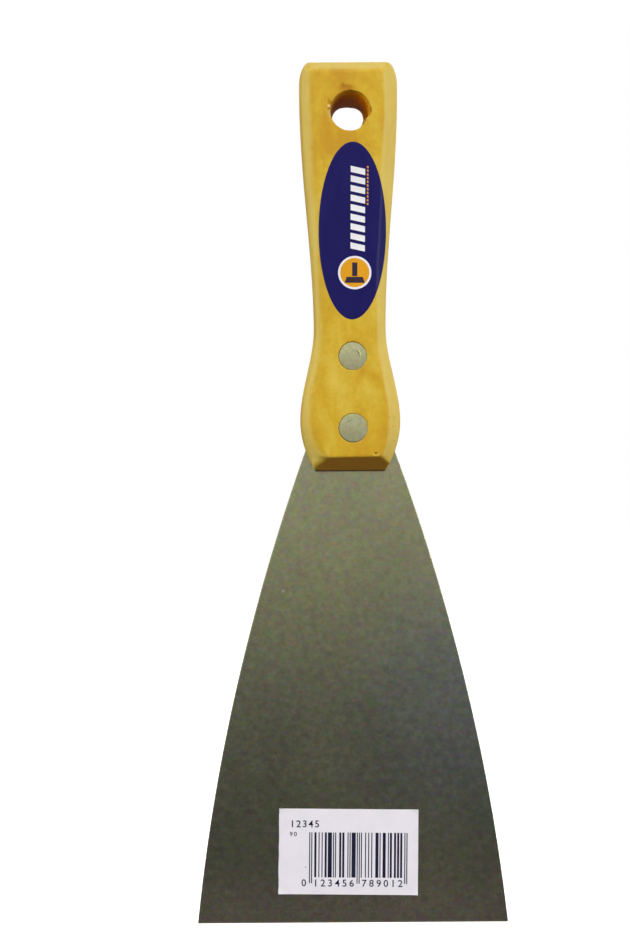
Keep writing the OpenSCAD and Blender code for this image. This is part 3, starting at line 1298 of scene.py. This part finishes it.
@dataclass
class Blade:
    """The steel blade, with its ground edge, shoulders and riveted tang."""

    edge_z: float
    visible: float
    edge_w: float = 90.0
    root_w: float = 30.2
    bow: float = 4.05
    thickness: float = 0.8
    edge_t: float = 0.3
    grind: float = 3.3
    shoulder: float = 8.0
    tang_w: float = 16.0
    tang: float = 41.0
    fillet: float = 3.0
    lip: float = 0.12
    lip_share: float = 0.70
    rounding: float = 0.16
    rim_share: float = 0.62
    rim: tuple[float, ...] = (0.0, 0.05, 0.16, 0.40, 1.6, 2.0)
    columns: int = 40
    rivets: Rivets = Rivets()

    def half_width(self, height: float) -> float:
        """Half the blade's width at a height above the working edge."""
        t = 1.0 - height / self.visible
        return self.root_w / 2 + (self.edge_w - self.root_w) / 2 * t + 4 * self.bow * t * (1 - t)

    def rows(self) -> list[Point2]:
        """The blade's outline, from the working edge to the tang's end.

        Returns:
            Heights above the working edge and half widths.
        """
        root, end, half = self.visible + self.shoulder, self.visible + self.tang, self.tang_w / 2
        ground = [0.0, 0.04, self.lip, 0.5, 1.2, 2.2, 3.0, 3.2, self.grind, 3.4, 3.7]
        rows = [(h, self.half_width(h)) for h in [*ground, *np.linspace(5.0, root, 70)]]
        turns = np.radians(np.linspace(0.0, 90.0, 8))
        curve = [(self.fillet * (1 - math.cos(a)), self.fillet * (1 - math.sin(a))) for a in turns]
        rows += [(root + u, half + v) for u, v in curve]
        rows += [(h, half) for h in np.linspace(root + 5.0, end - 4.0, 10)]
        return rows + [(end - v, half - u) for u, v in curve]

    def build(self) -> None:
        """Shapes and dresses the blade, whose edges are slightly rounded."""
        across = np.array(self.rim)
        points: list[tuple[float, float, float]] = []
        rows = self.rows()
        for height, half in rows:
            inner = half - across[-1]
            middle = np.linspace(-inner, inner, self.columns)[1:-1]
            xs = np.concatenate([-half + across, middle, half - across[::-1]])
            ground = min(height / self.grind, 1.0)
            full = (self.edge_t + (self.thickness - self.edge_t) * ground) / 2
            margin = np.minimum((half - np.abs(xs)) / self.rounding, 1.0)
            depth = full * (self.rim_share + (1 - self.rim_share) * np.sqrt(1 - (1 - margin) ** 2))
            depth *= self.lip_share + (1 - self.lip_share) * min(height / self.lip, 1.0)
            z = self.edge_z + height
            points += [(x, -t, z) for x, t in zip(xs, depth)]
            points += [(x, t, z) for x, t in zip(xs[::-1], depth[::-1])]
        faces = tube_faces(len(rows), len(points) // len(rows))
        made = piece("Blade", np.array(points), faces, "blade", 25.0)
        for level in self.rivets.levels:
            self.pierce(made, self.edge_z + self.visible + level)
        dress(made, SpringSteel(edge_z=self.edge_z, grind=self.grind).material())

    def pierce(self, made: bpy.types.Object, z: float) -> None:
        """Bores a rivet hole through the tang.

        Args:
            made: The blade.
            z: The hole's height in the frame.
        """
        over, up = circle(48, self.rivets.bore)
        over, up = over + self.rivets.off_centre, up + z
        ends = [np.stack([over, np.full_like(up, y), up], axis=1) for y in (1.0, -1.0)]
        mesh = bpy.data.meshes.new("drill")
        mesh.from_pydata((np.concatenate(ends) * MM).tolist(), [], tube_faces(2, 48))
        drill = show("drill", mesh)
        cut = made.modifiers.new("drill", "BOOLEAN")
        cut.object, cut.operation, cut.solver = drill, "DIFFERENCE", "EXACT"
        made.data = baked(made)
        made.modifiers.clear()
        bpy.data.objects.remove(drill)


# ---- rivets


def arc(x: Array, z: Array, radius: float, wide: float, angle: float, span: float) -> Array:
    """A soft arc round the middle.

    Args:
        x: Places across.
        z: Places up.
        radius: Its radius.
        wide: Its width.
        angle: Where its middle is, anticlockwise from the right.
        span: How far it runs.

    Returns:
        1 along the arc and 0 away from it.
    """
    off, turn = np.hypot(x, z) - radius, np.arctan2(z, x) - angle
    return np.exp(-((off / wide) ** 2) - (turn / span) ** 2)


def unmarked(x: Array, z: Array) -> tuple[Array, Array]:
    """Depth and painted shading of a head without a mark, both none."""
    return 0.0 * x, 0.0 * z


def pressed_ring(x: Array, z: Array) -> tuple[Array, Array]:
    """A raised ring on a head, clearest at its right.

    Args:
        x: Places across the head.
        z: Places up it.

    Returns:
        Its depth, and its painted shade and highlight.
    """
    ridge = arc(x, z, 2.15, 0.16, 0.5, 0.5) + 0.2 * arc(x, z, 2.15, 0.2, 0.0, 2.5)
    # painted shade on the ridge's inner flank and a painted highlight on its outer one
    dark, bright = arc(x, z, 1.9, 0.22, 0.6, 0.35), arc(x, z, 2.25, 0.16, 0.4, 0.45)
    return -0.07 * ridge, 0.75 * dark - 0.6 * bright


def small_dent(x: Array, z: Array) -> tuple[Array, Array]:
    """A knock in a head, with a faint arc to its right.

    Args:
        x: Places across the head.
        z: Places up it.

    Returns:
        Its depth, and how much darker the knock and the arc are.
    """
    knock = np.exp(-((x + 1.2) ** 2 / 0.05) - (z - 1.7) ** 2 / 0.14)
    trail = arc(x, z, 1.9, 0.20, 1.5, 0.6)
    return 0.06 * knock + 0.015 * trail, 0.4 * knock + 0.2 * trail


class Half(Enum):
    """Which half of a rivet, by the sign of the Y that its head faces."""

    POST = -1
    SLEEVE = 1


@dataclass
class Rivet:
    """One half of a cutler's rivet."""

    node: str
    z: float
    half: Half
    head_radius: float
    shift: Point2
    mark: Callable[[Array, Array], tuple[Array, Array]] = unmarked
    face: float = 9.8
    dome: float = 0.12
    head: float = 1.4
    rim: float = 0.06
    sleeve_radius: float = 2.6
    post_radius: float = 1.9
    post_gap: float = 0.6
    sleeve_gap: float = 2.5
    point: float = 0.3
    around: int = 128

    def profile(self) -> list[Point2]:
        """The outline that is turned, from the middle of the head to the axis.

        Returns:
            Radii and distances below the head's face.
        """
        flat, post, end = self.head_radius - self.rim, self.post_radius, 2 * self.face - self.head
        rows = [(share * flat, 0.0) for share in np.linspace(0.0, 1.0, 49)]
        for a in np.radians([18, 36, 54, 72, 90]):
            rows.append((flat + self.rim * math.sin(a), self.rim * (1 - math.cos(a))))
        rows.append((self.head_radius, self.head))
        if self.half is Half.POST:
            end -= self.post_gap
            rows += [(post, self.head), (post, end - self.point)]
            return rows + [(post - self.point, end), (0.0, end)]
        end -= self.sleeve_gap
        rows += [(self.sleeve_radius, self.head), (self.sleeve_radius, end)]
        return rows + [(post, end), (post, self.head), (0.0, self.head)]

    def build(self) -> bpy.types.Object:
        """Turns the rivet.

        Returns:
            The piece.
        """
        side = self.half.value
        rings, wear = [], []
        for radius, depth in self.profile():
            x, z = circle(self.around, radius)
            on_face = depth == 0.0
            dent, tone = (self.mark if on_face else unmarked)(x, z * -side)
            dome = self.dome * (1 - (radius / self.head_radius) ** 2) * on_face
            y = side * (self.face - depth + dome - dent)
            over, up = x + self.shift[0], z * -side + self.z + self.shift[1]
            rings.append(np.stack([over, y, up], axis=1))
            wear.append(tone)
        rings[0] = rings[0].mean(axis=0, keepdims=True).repeat(self.around, axis=0)
        faces = tube_faces(len(rings), self.around, close_ends=False)
        name = "Rivet_" + self.node.removeprefix("rivet_")
        made = piece(name, np.concatenate(rings), faces, self.node, 50.0)
        note(made, "wear", np.concatenate(wear))
        return made


def set_rivets(rivets: Rivets, nose_z: float) -> None:
    """Builds and dresses both halves of both rivets.

    Args:
        rivets: Their places.
        nose_z: The height of the handle's nose in the frame.
    """
    metal = RivetMetal().material()
    across = rivets.off_centre
    for level, z, seat, drop, mark in zip(
        ("lower", "upper"), rivets.levels, rivets.seats, rivets.drops, (small_dent, pressed_ring)
    ):
        z, radius = nose_z + z, seat - rivets.play
        for half in (
            Rivet(f"rivet_post_{level}", z, Half.POST, radius, (across + rivets.slip, drop), mark),
            Rivet(f"rivet_sleeve_{level}", z, Half.SLEEVE, radius, (across, 0.0)),
        ):
            dress(half.build(), metal)


# ---- labels


class Printer:
    """Collects flat ink shapes and lays them on a surface."""

    def __init__(self) -> None:
        """Starts with no ink."""
        self.points: list[Point2] = []
        self.faces: list[list[int]] = []

    def shape(self, outline: Iterable[Point2]) -> None:
        """Adds a filled shape.

        Args:
            outline: Its corners, anticlockwise.
        """
        first = len(self.points)
        self.points += outline
        self.faces.append(list(range(first, len(self.points))))

    def bar(self, x: float, y: float, wide: float, tall: float, lean: float = 0.0) -> None:
        """Adds a bar.

        Args:
            x: Its lower left corner.
            y: The same.
            wide: Its width.
            tall: Its height.
            lean: How far its top is pushed to the right.
        """
        self.shape([(x, y), (x + wide, y), (x + wide + lean, y + tall), (x + lean, y + tall)])

    def disc(self, middle: Point2, radius: float, steps: int = 64) -> None:
        """Adds a disc.

        Args:
            middle: Its centre.
            radius: Its radius.
            steps: How many corners it has.
        """
        over, up = circle(steps, radius)
        self.shape(zip(middle[0] + over, middle[1] + up))

    def ring(self, middle: Point2, inner: float, outer: float, steps: int = 64) -> None:
        """Adds a ring.

        Args:
            middle: Its centre.
            inner: Its inner radius.
            outer: Its outer radius.
            steps: How many corners it has.
        """
        over, up = circle(steps)
        for a in range(steps):
            b = (a + 1) % steps
            corners = ((a, inner), (a, outer), (b, outer), (b, inner))
            self.shape([(middle[0] + r * over[k], middle[1] + r * up[k]) for k, r in corners])

    def digits(self, text: str, x: float, y: float, tall: float, pitch: float) -> None:
        """Adds figures in Blender's own font.

        Args:
            text: The figures.
            x: Left of the first one.
            y: The foot of them all.
            tall: Their height.
            pitch: Distance from one to the next.
        """
        curve = bpy.data.curves.new("figures", "FONT")
        curve.offset = 0.012
        holder = show("figures", curve)
        for place, figure in enumerate(text):
            curve.body = figure
            mesh = baked(holder)
            flat = np.array([v.co[:2] for v in mesh.vertices])
            low, high = flat.min(axis=0), flat.max(axis=0)
            anchor = ((low[0] + high[0]) / 2, low[1])
            flat = (flat - anchor) * tall / (high[1] - low[1]) + (x + pitch * (place + 0.5), y)
            first = len(self.points)
            self.points += flat.tolist()
            self.faces += [[first + i for i in f.vertices] for f in mesh.polygons]
            bpy.data.meshes.remove(mesh)
        bpy.data.objects.remove(holder)
        bpy.data.curves.remove(curve)

    def lay(
        self, name: str, slot: str, place: Callable[[Array, Array], Array], ink: PrintedFilm
    ) -> None:
        """Makes the ink.

        Args:
            name: The piece's name.
            slot: Not used.
            place: Turns flat coordinates into points in millimetres.
            ink: Its finish.
        """
        flat = np.array(self.points)
        dress(piece(name, place(flat[:, 0], flat[:, 1]), self.faces), ink.material())


@dataclass
class OvalLabel:
    """The dark oval film on the front of the handle, with plain shapes printed on it."""

    handle: Handle
    z: float = 68.5
    x: float = 0.9
    wide: float = 19.3
    tall: float = 50.6
    lean: float = 0.6
    thickness: float = 0.10
    glue: float = 0.005
    ink: float = 0.010
    around: int = 160
    rings: int = 30
    blue: Colour = (0.0060, 0.0040, 0.088)
    worn_blue: Colour = (0.012, 0.009, 0.108)
    white: Colour = (0.80, 0.79, 0.82)
    orange: Colour = (0.72, 0.33, 0.012)
    dark: Colour = (0.035, 0.022, 0.040)
    foot: float = -3.55
    bars: int = 9
    bar_start: float = -6.0
    bar_pitch: float = 2.72
    bar_size: Point2 = (1.75, 4.1)
    bar_lean: float = 0.9
    dashes: int = 11
    dash_start: float = 7.2
    dash_pitch: float = 1.05
    dash_drop: float = 0.95
    dash_size: Point2 = (0.62, 0.42)
    dash_lean: float = 0.08
    badge: Point2 = (-12.0, -0.7)
    badge_radius: float = 4.15
    badge_rim: float = 0.6
    # the drawn knife: its blade's outline and its handle's corner and size, from the badge's middle
    drawn_blade: tuple[Point2, ...] = ((-2.9, -2.9), (-1.2, -2.3), (-1.2, 2.3), (-2.9, 2.9))
    drawn_handle: tuple[float, ...] = (-1.0, -0.75, 3.9, 1.5)

    def at(self, u: Array, v: Array, lift: float) -> Array:
        """Points on the label.

        Args:
            u: Places across it.
            v: Places along it.
            lift: Height above the wood.

        Returns:
            Points in the frame, in millimetres.
        """
        turn = math.radians(self.lean)
        x = self.x + u * math.cos(turn) + v * math.sin(turn)
        z = self.z + v * math.cos(turn) - u * math.sin(turn)
        return np.stack([x, self.handle.surface_y(x, z) - lift, z + self.handle.nose_z], axis=1)

    def build(self) -> None:
        """Makes the film, rounded off along its rim, and its print."""
        over, up = circle(self.around)
        top = self.glue + self.thickness
        rows = [(share, top) for share in np.linspace(0.0, 0.985, self.rings)]
        # the last rows round off the rim and turn under the film
        rows += [(0.994, top - 0.02), (1.0, top - 0.06), (1.0, self.glue), (0.9, self.glue)]
        rings = [self.at(s * self.wide / 2 * over, s * self.tall / 2 * up, h) for s, h in rows]
        faces = tube_faces(len(rings), self.around, close_ends=False)
        film = piece("Label_oval", np.concatenate(rings), faces, "oval_label", 60.0)
        dress(film, PrintedFilm("label_film", self.blue, self.worn_blue).material())
        self.prints()

    def prints(self) -> None:
        """Lays plain bars, dashes and a badge with a knife where a maker's printing would be.

        They are drawn lying down and turned upright, to run up the handle.
        """
        white, orange, dark = Printer(), Printer(), Printer()
        for k in range(self.bars):
            start = self.bar_start + k * self.bar_pitch
            white.bar(start, self.foot, *self.bar_size, self.bar_lean)
        for k in range(self.dashes):
            start = self.dash_start + k * self.dash_pitch
            orange.bar(start, self.foot - self.dash_drop, *self.dash_size, self.dash_lean)
        white.ring(self.badge, self.badge_radius, self.badge_radius + self.badge_rim)
        orange.disc(self.badge, self.badge_radius)
        x, y = self.badge
        dark.shape([(x + a, y + b) for a, b in self.drawn_blade])
        left, low, wide, tall = self.drawn_handle
        dark.bar(x + left, y + low, wide, tall)
        lift = self.glue + self.thickness + self.ink
        for name, printer, colour, height in (
            ("Label_bars", white, self.white, lift),
            ("Label_orange", orange, self.orange, lift),
            ("Label_figure", dark, self.dark, lift + self.ink),
        ):
            worn = tuple(c * 0.85 for c in colour)
            ink = PrintedFilm(name.lower() + "_ink", colour, worn)
            printer.lay(name, "label_film", lambda a, b, h=height: self.at(-b, a, h), ink)


@dataclass
class Sticker:
    """The white bar-code sticker on the blade."""

    edge_z: float
    blade_half: float = 0.4
    x: float = -1.2
    z: float = 20.6
    wide: float = 40.4
    tall: float = 24.8
    turn: float = 0.8
    thickness: float = 0.12
    glue: float = 0.005
    curl: float = 0.28
    curl_reach: float = 3.0
    ink: float = 0.012
    ink_colour: Colour = (0.007, 0.007, 0.032)
    worn_ink: Colour = (0.03, 0.03, 0.07)
    module: float = 0.30
    code_left: float = 8.8
    bar_top: float = 6.8
    bar_foot: float = 19.85
    guard_foot: float = 21.6
    guards: tuple[int, ...] = (0, 2, 46, 48, 92, 94)
    figures: str = "0123456789012"
    figure_foot: float = -22.5
    figure_h: float = 2.05

    def at(self, u: Array, v: Array, lift: float) -> Array:
        """Points on the sticker, whose corners stand off the steel a little.

        Args:
            u: Distances from its left edge.
            v: Distances down from its top edge.
            lift: Height above the steel.

        Returns:
            Points in the frame, in millimetres.
        """
        a = math.radians(self.turn)
        right, up = u - self.wide / 2, self.tall / 2 - v
        side, end = np.minimum(u, self.wide - u), np.minimum(v, self.tall - v)
        loose = np.clip(1.0 - (side + end) / self.curl_reach, 0.0, 1.0) ** 2
        x = self.x + right * math.cos(a) + up * math.sin(a)
        z = self.edge_z + self.z + up * math.cos(a) - right * math.sin(a)
        return np.stack([x, -self.blade_half - lift - self.curl * loose, z], axis=1)

    def build(self) -> None:
        """Makes the paper, cut a little raggedly at its left, and its print."""
        # the grid is closer along the borders, where the corners curl
        close, inner = np.linspace(0.0, self.curl_reach, 9), self.curl_reach + 1.0
        us, vs = (
            np.concatenate([close, np.linspace(inner, size - inner, count), size - close[::-1]])
            for size, count in ((self.wide, 12), (self.tall, 8))
        )
        grid_u, grid_v = (g.ravel() for g in np.meshgrid(us, vs))
        ragged = 0.05 * np.sin(grid_v * 2.3) + 0.04 * np.sin(grid_u * 1.9 + grid_v)
        grid_u = grid_u + np.where(grid_u == 0.0, ragged, 0.0)
        sheet = [self.at(grid_u, grid_v, lift) for lift in (self.thickness, self.glue)]
        index = np.arange(len(us) * len(vs)).reshape(len(vs), len(us))
        corners = (index[:-1, :-1], index[1:, :-1], index[1:, 1:], index[:-1, 1:])
        front = np.stack(corners, axis=-1).reshape(-1, 4)
        back = front[:, ::-1] + index.size
        loop = [*index[0], *index[1:, -1], *index[-1, -2::-1], *index[-2:0:-1, 0]]
        rim = [[a, b, b + index.size, a + index.size] for a, b in zip(loop, loop[1:] + loop[:1])]
        faces = [*front, *back, *rim]
        paper = piece("Sticker_paper", np.concatenate(sheet), faces, "barcode_sticker", 60.0)
        dress(paper, StickerPaper().material())
        self.print_ink()

    def print_ink(self) -> None:
        """Prints plain bars and generic figures."""
        ink = Printer()
        left = ("0001101", "0011001", "0010011", "0111101", "0100011")
        left += ("0110001", "0101111", "0111011", "0110111", "0001011")
        first = "".join(left[int(d)] for d in self.figures[1:7])
        second = "".join(left[int(d)] for d in self.figures[7:])
        second = second.translate(str.maketrans("01", "10"))
        for run in re.finditer("1+", "101" + first + "01010" + second + "101"):
            foot = self.guard_foot if run.start() in self.guards else self.bar_foot
            start, wide = self.code_left + run.start() * self.module, len(run[0]) * self.module
            ink.bar(start, -foot, wide, foot - self.bar_top)
        # under the code, its figures start past the left and the middle guard bars
        one, other = (self.code_left + count * self.module for count in (3, 50))
        foot, tall = self.figure_foot, self.figure_h
        for text, x, y, high, pitch in (
            (self.figures[0], 6.5, foot, tall, 1.6),
            (self.figures[1:7], one, foot, tall, 2.09),
            (self.figures[7:], other, foot, tall, 2.09),
            ("12345", 3.0, -5.4, tall, 1.78),
            ("90", 2.9, -8.0, 1.3, 1.25),
        ):
            ink.digits(text, x, y, high, pitch)
        stray_dot = (7.8, -16.9)
        ink.disc(stray_dot, 0.16, 12)
        lift = self.thickness + self.ink
        finish = PrintedFilm("sticker_ink", self.ink_colour, self.worn_ink, 0.6)
        ink.lay("Sticker_ink", "sticker_paper", lambda a, b: self.at(a, -b, lift), finish)


# ---- studio


@dataclass(frozen=True)
class Softbox:
    """A rectangular lamp, by its place, what it is aimed at, its size, power and colour."""

    name: str
    place: Point3
    aim: Point3
    size: Point2
    power: float
    colour: Colour

    def hang(self) -> None:
        """Puts the lamp up."""
        data = bpy.data.lights.new(self.name, "AREA")
        data.shape = "RECTANGLE"
        data.size, data.size_y = self.size[0] * MM, self.size[1] * MM
        data.energy, data.color = self.power, self.colour
        lamp = show(self.name, data)
        lamp.location = Vector(self.place) * MM
        toward = (Vector(self.aim) - Vector(self.place)).to_track_quat("-Z", "Y")
        lamp.rotation_euler = toward.to_euler()


@dataclass
class Studio:
    """Floor, light and camera."""

    floor_z: float
    reach: float = 4000.0
    camera: Point3 = (-10.2, -500.0, -102.8)
    roll: float = -0.37
    lens: float = 65.6
    sensor: float = 36.0
    boxes: tuple[Softbox, ...] = (
        Softbox("key", (-250, -950, 800), (0, 0, -110), (700, 500), 7.0, (1.0, 0.99, 0.97)),
        Softbox("right", (950, -550, -60), (0, 0, -120), (600, 700), 8.3, (1.0, 0.98, 0.95)),
        Softbox("left", (-950, -500, -60), (0, 0, -120), (600, 700), 4.7, (1.0, 0.99, 0.97)),
        Softbox("top", (0, 250, 900), (0, 0, 0), (900, 600), 1.5, (1.0, 1.0, 1.0)),
        Softbox("back", (450, 900, 450), (0, 0, -90), (700, 700), 8.0, (1.0, 1.0, 1.0)),
    )
    # how bright the room is from straight below, 0, to straight overhead, 1
    room: tuple[Point2, ...] = (
        (0.0, 0.33),
        (0.15, 0.20),
        (0.27, 0.10),
        (0.37, 0.075),
        (0.41, 0.030),
        (0.455, 0.095),
        (0.50, 0.66),
        (0.56, 0.52),
        (0.93, 0.66),
    )

    def build(self) -> None:
        """Sets the scene round the knife."""
        self.floor()
        for box in self.boxes:
            box.hang()
        self.world()
        self.shoot()

    def floor(self) -> None:
        """A wide pale floor under the working edge, which lights nothing from below."""
        mesh = bpy.data.meshes.new("studio_floor")
        corners = np.array([(-1, -1, 0), (1, -1, 0), (1, 1, 0), (-1, 1, 0)]) * self.reach
        mesh.from_pydata(((corners + (0, 0, self.floor_z)) * MM).tolist(), [], [[0, 1, 2, 3]])
        floor = show("studio_floor", mesh)
        dress(floor, StudioPaint().material())
        floor.visible_glossy = floor.visible_diffuse = False

    def world(self) -> None:
        """A white room that is bright overhead and dark below the knife."""
        s = Shader("studio", "worlds")
        height = s.node("ShaderNodeTexCoord", {}, {}, "Generated").axis("Z") * 0.5 + 0.5
        light = s.ramp(height, [(place, (level,) * 3) for place, level in self.room])
        room = s.node("ShaderNodeBackground", {}, {"Color": light})
        seen = s.node("ShaderNodeBackground", {}, {"Color": (1.0, 1.0, 1.0)})
        straight = s.node("ShaderNodeLightPath", {}, {}, "Is Camera Ray")
        s.end("World", s.node("ShaderNodeMixShader", {}, {0: straight, 1: room, 2: seen}))
        bpy.context.scene.world = s.made

    def shoot(self) -> None:
        """The camera, square on to the blade, and plain colours."""
        data = bpy.data.cameras.new("camera")
        data.lens, data.sensor_width = self.lens, self.sensor
        camera = show("camera", data)
        level = Matrix.Rotation(math.pi / 2, 4, "X")
        turn = level @ Matrix.Rotation(math.radians(self.roll), 4, "Z")
        camera.matrix_world = Matrix.Translation(Vector(self.camera) * MM) @ turn
        bpy.context.scene.camera = camera
        bpy.context.scene.view_settings.view_transform = "Standard"


# ---- main


def millimetres(node: str) -> tuple[Array, Array]:
    """A CAD node's lowest and highest corners in millimetres."""
    low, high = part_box(node)
    return np.array(low) / MM, np.array(high) / MM


def main() -> None:
    """Builds the pieces in order and sets the scene."""
    logging.basicConfig(level=logging.INFO, format="%(name)s %(message)s")
    low, high = millimetres("handle")
    nose_z, edge_z = low[2], millimetres("blade")[0][2]
    handle = Handle(nose_z=nose_z, length=high[2] - nose_z, half_t=high[1])
    handle.build()
    Blade(edge_z=edge_z, visible=nose_z - edge_z).build()
    set_rivets(handle.rivets, nose_z)
    OvalLabel(handle).build()
    Sticker(edge_z=edge_z).build()
    Studio(floor_z=edge_z).build()


if __name__ == "__main__":
    main()
